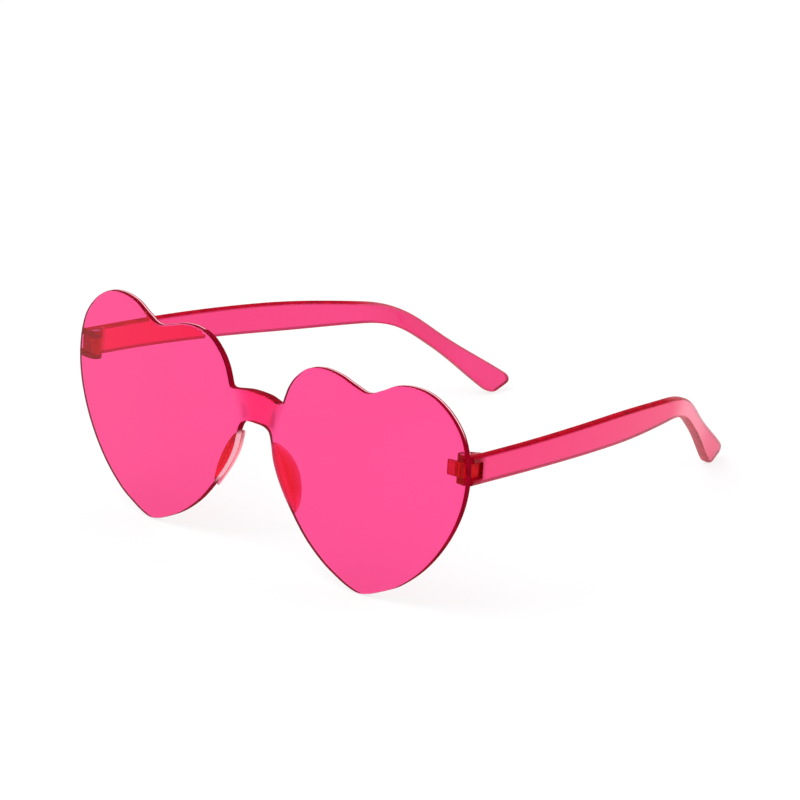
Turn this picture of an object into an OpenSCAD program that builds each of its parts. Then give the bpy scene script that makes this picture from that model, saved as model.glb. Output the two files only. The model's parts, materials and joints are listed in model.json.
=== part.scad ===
// Heart shaped sunglasses of clear pink plastic. The front is one sheet: two hearts joined by
// an arched bridge. Nose pads and hinge tongues are cemented to its rear face, and each flat
// temple turns on a small steel screw.
// X runs across the front, the ears lie towards +Y and Z is up. The pieces are drawn with the
// front upright, and stand() then sets them down open on a table, on the points of the hearts
// and the ends of the temples. The origin is on the table, under the middle of the object.

/* [Front] */
// Width across the two hearts
front_w = 147; // [130:1:165]
// Gap between the hearts where they come nearest, under the bridge
heart_gap = 12; // [10:0.5:15]
// Height of a heart, from its point to the top of its outer lobe
heart_h = 58.4; // [50:0.2:66]
// Thickness of the sheet
sheet_t = 2; // [1.6:0.1:2.6]
// Radius that the front is curved to, around the face
wrap_r = 660; // [400:10:1500]

/* [Bridge] */
// Height of the bridge at its middle
bridge_h = 8.3; // [6.5:0.1:10]
// Thickness of the bridge, which stands out behind the sheet
bridge_t = 3.1; // [2.8:0.1:4.5]

/* [Nose pads] */
// Length of a pad along the edge of its heart
pad_l = 19.5; // [15:0.5:23]
// How far a pad stands out behind the sheet
pad_d = 4.2; // [3:0.1:6]
// Thickness of a pad where it meets the sheet
pad_root_t = 4; // [3:0.1:5]
// Thickness of a pad near its free edge
pad_edge_t = 1.3; // [0.8:0.1:1.5]
// Angle by which a pad leans away from the nose
pad_flare_angle = 20; // [10:1:30]

/* [Temples] */
// Length of a temple along its middle line
temple_l = 140; // [120:1:155]
// Thickness of a temple
temple_t = 2.8; // [2.2:0.1:3.2]
// How far the outer face of a temple stands outside the edge of the front
temple_out = 0.5; // [0.2:0.1:1]
// Height of a temple at its hinge
root_h = 7.6; // [7:0.1:9]
// Height of a temple half way back
arm_h = 8.1; // [7:0.1:9.5]
// Height of a temple at its narrowest, in the bend
neck_h = 4.6; // [3.6:0.1:6]
// Height of a temple near its end
tip_h = 7.4; // [5.5:0.1:9]
// How far the upper corner of a temple's end reaches past the lower one
tip_slant = 3.5; // [0:0.1:4.5]
// Length of the straight root that carries the hinge
root_l = 10; // [9:0.5:14]
// Inward angle of a temple at its root
root_angle = 2.4; // [0:0.2:5]
// Further inward angle that the arm gains by the bend
bow_angle = 17.4; // [8:0.2:24]
// Further inward angle of the tip
tip_in_angle = 6; // [0:1:14]
// Downward angle that the arm gains by the bend
arm_drop_angle = 3.4; // [0:0.2:5]
// Further downward angle of the tip
tip_drop_angle = 31.5; // [24:0.5:45]
// Turn of the tip about its own line, outer face downwards
tip_turn_angle = 13; // [0:1:30]

/* [Hinges] */
// Distance of a hinge screw from the outer edge of its heart
pin_inset = 3.7; // [3.4:0.1:4.5]
// Radius of the hinge barrel
barrel_r = 1.7; // [1.6:0.05:2]
// Height of the tongue on the front
tongue_h = 4; // [3:0.1:4.4]
// Thickness of the foot that holds the tongue on the sheet
foot_t = 0.9; // [0.6:0.1:1.2]
// Length of that foot
foot_l = 6.8; // [6.2:0.1:8]
// Radius of the screw's shank
screw_r = 0.7; // [0.5:0.05:0.8]
// Radius of the screw's head
screw_head_r = 1.15; // [1:0.05:1.3]
// Height of the screw's head
screw_head_h = 0.6; // [0.4:0.1:0.8]

/* [Hidden] */
sheet_colour = [1, 0.33, 0.58, 0.75];
pad_colour = [0.95, 0.24, 0.42, 0.8];
tongue_colour = [0.78, 0.08, 0.16, 0.85];
temple_colour = [0.98, 0.3, 0.52, 0.8];
steel_colour = [0.75, 0.76, 0.78];
cut_over = 1;
right = 1;
left = -1;

// Clearances
bore_gap = 0.05;
slot_gap = 0.1;
stop_gap = 0.1;
barrel_gap = 0.3;
slot_rear_gap = 0.35;
head_gap = 0.08;

// Sides of the large cylinders and of the small ones
wrap_fn = 720;
round_fn = 48;

// Heart: across from its inner edge as a share of its width, up from its point as a share of
// its height, from the notch above the bridge over both lobes and round to the nose
heart_w = (front_w - heart_gap) / 2;
inner_x = heart_gap / 2;
heart_shares = [
    [0.062, 0.765], [0.070, 0.791], [0.087, 0.836], [0.121, 0.889], [0.182, 0.943],
    [0.264, 0.967], [0.350, 0.959], [0.424, 0.934], [0.498, 0.915], [0.572, 0.947],
    [0.643, 0.986], [0.735, 1.000], [0.827, 0.981], [0.915, 0.916], [0.976, 0.818],
    [1.000, 0.668], [0.981, 0.512], [0.918, 0.351], [0.819, 0.202], [0.699, 0.088],
    [0.596, 0.030], [0.551, 0.011], [0.505, 0.000], [0.458, 0.009], [0.400, 0.034],
    [0.308, 0.088], [0.210, 0.173], [0.126, 0.279], [0.061, 0.380], [0.021, 0.472],
    [0.003, 0.556]
];
point_share = 0.505;
// Level of the bridge and of the hinges above the point of a heart
level_share = 0.687;
level_z = heart_h * level_share;

// Bridge: across from the middle and down from its top or bottom line, as shares of half its
// width there
bridge_top_shares = [[0, 0], [0.34, 0.015], [0.64, 0.054], [0.84, 0.078], [0.95, 0.054]];
bridge_low_shares = [[0.90, 0.220], [0.72, 0.083], [0.47, 0.017], [0, 0]];
notch_x = inner_x + heart_shares[0].x * heart_w;
outline_step = 1.8;
least_steps = 3;

function heart_point(share) = [inner_x + share.x * heart_w, share.y * heart_h];
half_points = [
    for (s = bridge_top_shares) [s.x * notch_x, level_z + bridge_h / 2 - s.y * notch_x],
    for (s = heart_shares) heart_point(s),
    for (s = bridge_low_shares) [s.x * inner_x, level_z - bridge_h / 2 - s.y * inner_x]
];
half_n = len(half_points);
whole_points = [
    for (p = half_points) p,
    for (i = [half_n - 2 : -1 : 1]) [-half_points[i].x, half_points[i].y]
];

// A smooth closed curve through points, with handles a third as long as each span
function wrapped(points, i) = points[(i + len(points)) % len(points)];
function unit(v) = v / norm(v);
function tangent(points, i) = unit(wrapped(points, i + 1) - wrapped(points, i - 1));
function bezier(a, b, c, d, t) =
    pow(1 - t, 3) * a + 3 * t * pow(1 - t, 2) * b + 3 * t * t * (1 - t) * c + pow(t, 3) * d;
function smooth_loop(points) = [
    for (i = [0 : len(points) - 1])
        let (
            a = points[i],
            b = wrapped(points, i + 1),
            handle = norm(b - a) / 3,
            n = max(least_steps, ceil(norm(b - a) / outline_step))
        )
        for (k = [0 : n - 1])
            bezier(
                a, a + handle * tangent(points, i),
                b - handle * tangent(points, i + 1), b, k / n
            )
];
front_outline = smooth_loop(whole_points);

// Depth of the sheet's front and rear faces at a distance from the middle
function front_y(x) = wrap_r - sqrt(pow(wrap_r, 2) - x * x);
function rear_y(x) = wrap_r - sqrt(pow(wrap_r - sheet_t, 2) - x * x);

// Hinge, in plan. The tongue and the ears of the temple share the screw's line.
edge_r = 0.5;
edge_x = front_w / 2;
outer_x = edge_x + temple_out;
inner_face_x = outer_x - temple_t;
pin_x = edge_x - pin_inset;
pin_y = rear_y(pin_x) + barrel_gap + barrel_r;
tongue_r = barrel_r - slot_gap;
tongue_out = pin_inset - edge_r;
slot_h = tongue_h + 2 * slot_gap;
slot_rear_y = pin_y + barrel_r + slot_rear_gap;
ramp_y = 2 * barrel_r;
ear_in_x = inner_face_x - pin_x;
ear_reach = norm([ear_in_x, ramp_y]);
ramp_angle = atan2(ramp_y, ear_in_x) + acos(barrel_r / ear_reach);
screw_slot_w = screw_head_r / 4;
screw_slot_h = screw_head_h / 2;
screw_short = screw_r / 3;

// Temple: its middle line starts at the sheet, beside the screw, and runs back to its end
arm_start = [outer_x - temple_t / 2, front_y(edge_x) + sheet_t, level_z];
bend_from_share = 0.632;
bend_to_share = 0.8;
waist_from_share = 0.427;
waist_to_share = 0.821;
flare_from_share = 0.825;
bow_to = temple_l * (bend_from_share + bend_to_share) / 2;
ring_step = 3.2;
path_step = 3.5;
end_round = temple_l * 0.022;
end_top_share = 0.75;
end_low_share = 0.4;
end_ring_shares = [0.978, 0.985, 0.991, 0.996, 0.999, 1];
ring_n = ceil((end_ring_shares[0] * temple_l - root_l) / ring_step);

function ease(t) = let (u = min(1, max(0, t))) u * u * (3 - 2 * u);
function part_way(s, from_s, to_s) = min(1, max(0, (s - from_s) / (to_s - from_s)));
function bend(s) = ease(part_way(s, bend_from_share * temple_l, bend_to_share * temple_l));
function bow(s) = part_way(s, root_l, bow_to);
function yaw(s) = root_angle + bow_angle * bow(s) + tip_in_angle * bend(s);
function pitch(s) = arm_drop_angle * bow(s) + tip_drop_angle * bend(s);
function turn(s) = -tip_turn_angle * bend(s);
function along(s) = [-sin(yaw(s)) * cos(pitch(s)), cos(yaw(s)) * cos(pitch(s)), -sin(pitch(s))];
function level_out(s) = [cos(yaw(s)), sin(yaw(s)), 0];
function steep_up(s) = cross(level_out(s), along(s));
function out_dir(s) = level_out(s) * cos(turn(s)) + steep_up(s) * sin(turn(s));
function up_dir(s) = steep_up(s) * cos(turn(s)) - level_out(s) * sin(turn(s));
function widening(s, from_s, to_share, change) =
    change * ease(part_way(s, from_s, to_share * temple_l));
function arm_height(s) =
    root_h
    + widening(s, root_l, waist_from_share, arm_h - root_h)
    + widening(s, waist_from_share * temple_l, waist_to_share, neck_h - arm_h)
    + widening(s, flare_from_share * temple_l, 1, tip_h - neck_h);
function slant(s) = widening(s, flare_from_share * temple_l, 1, tip_slant / 2);
function sum_of(list, i = 0) = i == len(list) - 1 ? list[i] : list[i] + sum_of(list, i + 1);
function path_to(s) =
    let (
        bent = max(0, s - root_l),
        n = max(1, ceil(bent / path_step)),
        step = bent / n
    )
    arm_start + min(s, root_l) * along(0)
    + step * sum_of([for (i = [0 : n - 1]) along(root_l + step * (i + 0.5))]);

// How far the rounded end draws the top or the bottom edge in
function drawn_in(s, share) =
    let (into = part_way(s, temple_l - end_round, temple_l))
    end_round * share * (1 - sqrt(1 - into * into));
corner_angles = [0, 45, 90];
// The section of a temple: a rectangle with rounded corners, outwards and upwards from the
// middle line, with a depth below the line that can differ from its height above
function section(high, low) =
    let (w = temple_t / 2 - edge_r)
    [
        for (a = corner_angles) [w + edge_r * cos(a), high - edge_r + edge_r * sin(a)],
        for (a = corner_angles) [-w - edge_r * sin(a), high - edge_r + edge_r * cos(a)],
        for (a = corner_angles) [-w - edge_r * cos(a), -low + edge_r - edge_r * sin(a)],
        for (a = corner_angles) [w + edge_r * sin(a), -low + edge_r - edge_r * cos(a)]
    ];
function arm_ring(s) =
    let (
        centre = path_to(s),
        half = arm_height(s) / 2,
        shape = section(half - drawn_in(s, end_top_share), half - drawn_in(s, end_low_share))
    )
    [
        for (p = shape)
            centre + out_dir(s) * p.x + up_dir(s) * p.y + along(s) * slant(s) * p.y / half
    ];
arm_rings = [
    arm_ring(-temple_t),
    for (i = [0 : ring_n - 1])
        arm_ring(root_l + i * (end_ring_shares[0] * temple_l - root_l) / ring_n),
    for (share = end_ring_shares) arm_ring(temple_l * share)
];

// Nose pad: it follows the inner edge of the heart down from below the bridge
pad_edge_shares = [[0.003, 0.553], [0.026, 0.399], [0.117, 0.276], [0.210, 0.173]];
pad_rings = 20;
pad_margin = 0.4;
pad_seat = 0.6;
pad_skew = 0.92;
pad_fullness = 0.55;
pad_thin_share = 0.12;
pad_least_share = 0.12;
pad_arc_angles = [0, 45, 90, 135, 180];
function pad_edge(t) =
    let (p = [for (s = pad_edge_shares) heart_point(s)])
    bezier(p[0], p[1], p[2], p[3], t);
pad_edge_l = sum_of([
    for (i = [1 : pad_rings]) norm(pad_edge(i / pad_rings) - pad_edge((i - 1) / pad_rings))
]);
pad_reach = pad_l / pad_edge_l;
function pad_in(t) =
    let (d = unit(pad_edge(t + 1 / pad_rings) - pad_edge(t - 1 / pad_rings)))
    [-d.y, d.x];
function pad_form(t) = max(pad_least_share, pow(sin(180 * pow(t, pad_skew)), pad_fullness));
function pad_ring(t) =
    let (
        e = t * pad_reach,
        form = pad_form(t),
        thick = pad_root_t * (pad_thin_share + (1 - pad_thin_share) * form),
        depth = pad_d * form,
        round_r = min(pad_edge_t, thick, depth) / 2,
        inward = pad_in(e),
        base = pad_edge(e) + inward * (thick / 2 + pad_margin),
        mid_d = depth - round_r,
        lean_in = tan(pad_flare_angle),
        shape = [
            [thick / 2, -pad_seat],
            for (a = pad_arc_angles)
                [mid_d * lean_in + round_r * cos(a), mid_d + round_r * sin(a)],
            [-thick / 2, -pad_seat]
        ]
    )
    [
        for (q = shape)
            let (p = base + inward * q.x)
            [p.x, rear_y(base.x) + q.y, p.y]
    ];
pad_ring_list = [for (i = [0 : pad_rings]) pad_ring(i / pad_rings)];

// Setting down: how the object leans on the table, and where its origin comes
foot_x = inner_x + point_share * heart_w;
tip_points = [for (i = [ring_n - 4 : len(arm_rings) - 1]) for (p = arm_rings[i]) p];
stand_angle = min([for (p = tip_points) atan2(p.z, p.y - rear_y(foot_x))]);
function stood_y(y, z) = y * cos(stand_angle) + z * sin(stand_angle);
rise = rear_y(foot_x) * sin(stand_angle);
front_most = min([for (p = front_outline) stood_y(front_y(p.x), p.y)]);
back_most = max([for (p = tip_points) stood_y(p.y, p.z)]);

module stand() {
    translate([0, -(front_most + back_most) / 2, rise])
        rotate([-stand_angle, 0, 0])
            children();
}

// The right hand piece, or its mirror image on the left
module on_side(side) {
    mirror([side < 0 ? 1 : 0, 0, 0])
        children();
}

// A closed skin over rings that have the same number of points
module skin(rings) {
    n = len(rings[0]);
    last = len(rings) - 1;
    polyhedron(
        points = [for (ring = rings) for (p = ring) p],
        faces = [
            [for (k = [n - 1 : -1 : 0]) k],
            for (i = [0 : last - 1])
                for (k = [0 : n - 1])
                    let (a = i * n + k, b = i * n + (k + 1) % n)
                    each [[a, b, a + n], [b, b + n, a + n]],
            [for (k = [0 : n - 1]) last * n + k]
        ]
    );
}

// The space between two depths, measured from the front face of the curved sheet
module curved_layer(from_d, to_d) {
    translate([0, wrap_r, -cut_over])
        difference() {
            cylinder(r = wrap_r - from_d, h = heart_h + 2 * cut_over, $fn = wrap_fn);
            translate([0, 0, -cut_over])
                cylinder(r = wrap_r - to_d, h = heart_h + 4 * cut_over, $fn = wrap_fn);
        }
}

// Everything behind the curved sheet, from a gap behind it on. Two of its many sides meet at
// at_x, so that it follows the sheet most closely there.
module behind_sheet(gap, at_x) {
    translate([0, wrap_r, -cut_over])
        rotate([0, 0, asin(at_x / wrap_r)])
            cylinder(r = wrap_r - sheet_t - gap, h = heart_h + 2 * cut_over, $fn = wrap_fn);
}

// An outline in X and Z, made a prism that starts before the sheet
module upright(depth) {
    translate([0, depth, 0])
        rotate([90, 0, 0])
            linear_extrude(depth + cut_over)
                children();
}

// An outline in X and Y round the screw's line, made a prism between two levels
module plan(from_z, to_z) {
    translate([pin_x, pin_y, level_z + from_z])
        linear_extrude(to_z - from_z)
            children();
}

// A round hole or shank on the screw's line
module on_pin(r, from_z, to_z) {
    translate([pin_x, pin_y, level_z + from_z])
        cylinder(r = r, h = to_z - from_z, $fn = round_fn);
}

sheet_depth = front_y(edge_x) + bridge_t + cut_over;
// The part of the outline that is bridge: from notch to notch, and down to where it meets
// the edges of the hearts
module bridge_outline() {
    top_z = level_z + bridge_h / 2 + cut_over;
    low_z = level_z - bridge_h;
    intersection() {
        polygon(front_outline);
        polygon([
            [-notch_x, top_z], [-notch_x, level_z + bridge_h / 3], [-inner_x, low_z],
            [inner_x, low_z], [notch_x, level_z + bridge_h / 3], [notch_x, top_z]
        ]);
    }
}

module lens_front() {
    color(sheet_colour)
        stand() {
            intersection() {
                upright(sheet_depth)
                    polygon(front_outline);
                curved_layer(0, sheet_t);
            }
            intersection() {
                upright(sheet_depth)
                    bridge_outline();
                curved_layer(sheet_t / 2, bridge_t);
            }
        }
}

module nose_pad(side) {
    color(pad_colour)
        stand()
            on_side(side)
                intersection() {
                    skin(pad_ring_list);
                    behind_sheet(0, heart_gap);
                }
}

module hinge_tongue(side) {
    half = tongue_h / 2;
    color(tongue_colour)
        stand()
            on_side(side)
                difference() {
                    intersection() {
                        union() {
                            on_pin(tongue_r, -half, half);
                            plan(-half, half)
                                translate([-tongue_r, -2 * barrel_r])
                                    square([tongue_r + tongue_out, 2 * barrel_r]);
                            plan(-half, half)
                                square([tongue_out, tongue_r]);
                            intersection() {
                                plan(-half, half)
                                    translate([tongue_out - foot_l, -2 * barrel_r])
                                        square([foot_l, 2 * barrel_r]);
                                curved_layer(0, sheet_t + foot_t);
                            }
                        }
                        behind_sheet(0, pin_x);
                    }
                    on_pin(screw_r + bore_gap, -half - cut_over, half + cut_over);
                }
}

// The flare from the barrel out to the arm, at the level of one ear
module ear(from_z, to_z) {
    on_pin(barrel_r, from_z, to_z);
    plan(from_z, to_z)
        polygon([
            [0, -barrel_r],
            [ear_in_x + temple_t / 2, -barrel_r],
            [ear_in_x + temple_t / 2, ramp_y],
            [ear_in_x, ramp_y],
            barrel_r * [cos(ramp_angle), sin(ramp_angle)],
            [0, 0]
        ]);
}

module temple(side) {
    half = root_h / 2;
    color(temple_colour)
        stand()
            on_side(side)
                difference() {
                    intersection() {
                        union() {
                            skin(arm_rings);
                            ear(slot_h / 2, half);
                            ear(-half, -slot_h / 2);
                        }
                        behind_sheet(stop_gap, pin_x);
                    }
                    translate([pin_x - barrel_r, 0, level_z - slot_h / 2])
                        cube([pin_inset + 2 * temple_t, slot_rear_y, slot_h]);
                    on_pin(screw_r + bore_gap, 0, half + cut_over);
                    on_pin(screw_r, -half - cut_over, 0);
                    on_pin(screw_head_r + head_gap, half - screw_head_h, half + cut_over);
                }
}

module hinge_screw(side) {
    half = root_h / 2;
    color(steel_colour)
        stand()
            on_side(side)
                difference() {
                    union() {
                        on_pin(screw_r, screw_short - half, half - screw_head_h / 2);
                        on_pin(screw_head_r, half - screw_head_h, half);
                    }
                    plan(half - screw_slot_h, half + cut_over)
                        square([2 * screw_head_r + cut_over, screw_slot_w], center = true);
                }
}

lens_front();
nose_pad(left);  // nose_pad_left
nose_pad(right);  // nose_pad_right
hinge_tongue(left);  // hinge_tongue_left
hinge_tongue(right);  // hinge_tongue_right
temple(left);  // temple_left
temple(right);  // temple_right
hinge_screw(left);  // hinge_screw_left
hinge_screw(right);  // hinge_screw_right
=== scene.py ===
"""Heart shaped sunglasses of clear pink plastic, open on a white table in soft light.

Every piece is drawn upright, as the front is cut, and then set down on the table. Sizes are in
metres and follow the solids: X across the front, Y back to the ears, Z up.
"""

from __future__ import annotations

import json
import logging
import math

from dataclasses import dataclass, field
from enum import Enum
from typing import Any, Callable, Sequence

import bmesh
import bpy
from mathutils import Matrix, Vector
from mathutils.geometry import delaunay_2d_cdt
from mathutils.kdtree import KDTree


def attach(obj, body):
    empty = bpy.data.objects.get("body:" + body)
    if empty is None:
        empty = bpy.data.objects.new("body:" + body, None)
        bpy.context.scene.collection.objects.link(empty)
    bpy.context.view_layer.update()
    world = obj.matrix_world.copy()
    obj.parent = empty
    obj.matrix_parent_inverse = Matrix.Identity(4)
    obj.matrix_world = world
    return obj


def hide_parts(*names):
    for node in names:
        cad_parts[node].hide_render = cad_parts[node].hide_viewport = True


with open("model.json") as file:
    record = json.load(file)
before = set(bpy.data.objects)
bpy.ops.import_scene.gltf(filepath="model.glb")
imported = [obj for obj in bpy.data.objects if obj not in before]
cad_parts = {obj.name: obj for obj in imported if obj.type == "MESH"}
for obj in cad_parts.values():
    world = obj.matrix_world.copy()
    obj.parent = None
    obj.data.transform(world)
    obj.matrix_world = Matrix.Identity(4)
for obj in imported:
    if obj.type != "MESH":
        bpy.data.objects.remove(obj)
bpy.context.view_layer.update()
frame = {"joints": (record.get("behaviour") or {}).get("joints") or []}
log = logging.getLogger("sunglasses")

MM = 0.001
# The plastic's marks: its satin, on cut edges and as painted shade and painted light, and its
# painted highlight
EDGE_MARKS = ("cut_edge_and_painted_light", "painted_light_edge")
Colour = tuple[float, float, float]
Marks = tuple[float, float]
Point2 = tuple[float, float]
Point3 = tuple[float, float, float]
Ring = list[Vector]


class Side(Enum):
    """The two sides, as seen from before the front, with the sign of X there."""

    LEFT = -1
    RIGHT = 1

    @property
    def word(self) -> str:
        """The side's word in the names of pieces and bodies."""
        return self.name.lower()


class Operation(Enum):
    """What other solids do to a solid, with Blender's word for it."""

    JOIN = "UNION"
    CUT = "DIFFERENCE"


def ease(t: float) -> float:
    """A smooth step from 0 to 1, flat at both ends."""
    u = min(1.0, max(0.0, t))
    return u * u * (3 - 2 * u)


def part_way(s: float, start: float, end: float) -> float:
    """How far s is from start to end, from 0 to 1."""
    return min(1.0, max(0.0, (s - start) / (end - start)))


def rise(s: float, start: float, end: float) -> float:
    """A smooth step from 0 where s is start to 1 where it is end."""
    return ease(part_way(s, start, end))


def spread(start: float, end: float, parts: int) -> list[float]:
    """Even steps from start to end, with both of them."""
    return [start + (end - start) * k / parts for k in range(parts + 1)]


def bezier(a: Vector, b: Vector, c: Vector, d: Vector, t: float) -> Vector:
    """A point on the cubic curve with ends a and d and handles b and c."""
    u = 1 - t
    return a * u**3 + b * (3 * t * u * u) + c * (3 * t * t * u) + d * t**3


# Node trees


class Value:
    """An output socket of a tree, on which Python's operators add Math nodes."""

    def __init__(self, tree: "Tree", socket: bpy.types.NodeSocket) -> None:
        """Wraps an output socket of a tree."""
        self.tree = tree
        self.socket = socket

    def _math(self, operation: str, *others: Any) -> "Value":
        """Adds one Math node on this value and others."""
        return self.tree.add("ShaderNodeMath", {"operation": operation}, [self, *others])

    def __add__(self, other: Any) -> "Value":
        """This plus other."""
        return self._math("ADD", other)

    def __sub__(self, other: Any) -> "Value":
        """This minus other."""
        return self._math("SUBTRACT", other)

    def __rsub__(self, other: Any) -> "Value":
        """Other minus this."""
        return self.tree.add("ShaderNodeMath", {"operation": "SUBTRACT"}, [other, self])

    def __mul__(self, other: Any) -> "Value":
        """This times other."""
        return self._math("MULTIPLY", other)

    def __truediv__(self, other: Any) -> "Value":
        """This over other."""
        return self._math("DIVIDE", other)

    __radd__ = __add__
    __rmul__ = __mul__

    def root(self) -> "Value":
        """The square root."""
        return self._math("SQRT")

    def within(self, low: float, high: float) -> "Value":
        """This, kept between low and high."""
        return self._math("MAXIMUM", low)._math("MINIMUM", high)

    def ramp(self, low: float, high: float) -> "Value":
        """0 below low, 1 above high, and straight between them."""
        return ((self - low) / (high - low)).within(0, 1)


class Tree:
    """A node tree under construction."""

    def __init__(self, tree: bpy.types.NodeTree) -> None:
        """Wraps the node tree to add to."""
        self.tree = tree

    @classmethod
    def of(cls, holder: bpy.types.Material | bpy.types.World) -> "Tree":
        """Takes the tree of a material or a world and empties it.

        Args:
            holder: The material or the world.

        Returns:
            Its tree.
        """
        holder.use_nodes = True
        holder.node_tree.nodes.clear()
        return cls(holder.node_tree)

    def add(
        self,
        kind: str,
        settings: dict[str, Any] | None = None,
        inputs: Sequence[Any] | dict[str, Any] | None = None,
        output: str | int = 0,
    ) -> Value:
        """Adds one node.

        Args:
            kind: The node's type.
            settings: What is set on the node itself, before its sockets.
            inputs: The sockets' values or links, in order or by name.
            output: The name or the number of the output wanted.

        Returns:
            That output.
        """
        node = self.tree.nodes.new(kind)
        for name, value in (settings or {}).items():
            setattr(node, name, value)
        pairs = inputs.items() if isinstance(inputs, dict) else enumerate(inputs or [])
        for key, value in pairs:
            if isinstance(value, Value):
                self.tree.links.new(value.socket, node.inputs[key])
            else:
                node.inputs[key].default_value = value
        return Value(self, node.outputs[output] if node.outputs else node.inputs[0])

    def twin(self, value: Value, output: str) -> Value:
        """Another output of the node that a value comes from."""
        return Value(self, value.socket.node.outputs[output])

    def principled(self, inputs: dict[str, Any]) -> Value:
        """A Principled shader with these inputs."""
        return self.add("ShaderNodeBsdfPrincipled", {}, inputs)

    def noise(self, place: Value, scale: float, detail: float) -> Value:
        """Soft noise from 0 to 1, with so many waves in a metre."""
        inputs = {"Vector": place, "Scale": scale, "Detail": detail}
        return self.add("ShaderNodeTexNoise", {}, inputs, "Fac")

    def bump(self, height: Value) -> Value:
        """The normal that a height in metres gives."""
        return self.add("ShaderNodeBump", {}, {"Strength": 1.0, "Distance": 1.0, "Height": height})

    def blend(self, share: Value, first: Value | Colour, second: Value | Colour) -> Value:
        """A colour between two.

        Args:
            share: The share of the second colour, from 0 to 1.
            first: The first colour, linked or plain.
            second: The second colour.

        Returns:
            The mixed colour.
        """
        # The mixer has sockets for numbers and vectors before those for colours
        mixer = self.add("ShaderNodeMix", {"data_type": "RGBA"}, {"Factor": share}).socket.node
        for place, colour in ((6, first), (7, second)):
            if isinstance(colour, Value):
                self.tree.links.new(colour.socket, mixer.inputs[place])
            else:
                mixer.inputs[place].default_value = (*colour, 1.0)
        return Value(self, mixer.outputs[2])


class Rule:
    """A Geometry Nodes tree with named inputs, which gives an object its shape."""

    def __init__(self, name: str, sizes: dict[str, float]) -> None:
        """Starts the tree.

        Args:
            name: The tree's name.
            sizes: The named inputs and their values.
        """
        self.sizes = sizes
        self.group = bpy.data.node_groups.new(name, "GeometryNodeTree")
        face = self.group.interface
        face.new_socket("Geometry", in_out="INPUT", socket_type="NodeSocketGeometry")
        self.keys = {
            key: face.new_socket(key, in_out="INPUT", socket_type="NodeSocketFloat").identifier
            for key in sizes
        }
        face.new_socket("Geometry", in_out="OUTPUT", socket_type="NodeSocketGeometry")
        self.tree = Tree(self.group)
        self.mesh = self.tree.add("NodeGroupInput", output="Geometry")
        self.size = {key: self.tree.twin(self.mesh, key) for key in sizes}

    def shape(self, thing: bpy.types.Object, end: Value, material: bpy.types.Material) -> None:
        """Ends the tree and applies it to an object.

        Args:
            thing: The object.
            end: The geometry that the tree has made.
            material: The material that it gets.
        """
        real = self.tree.add("GeometryNodeRealizeInstances", {}, [end])
        inputs = {"Geometry": real, "Material": material}
        dressed = self.tree.add("GeometryNodeSetMaterial", {}, inputs)
        self.tree.add("NodeGroupOutput", {}, [dressed])
        step = thing.modifiers.new(self.group.name, "NODES")
        step.node_group = self.group
        for name, value in self.sizes.items():
            step[self.keys[name]] = value
        settle(thing)


# Finishes


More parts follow.
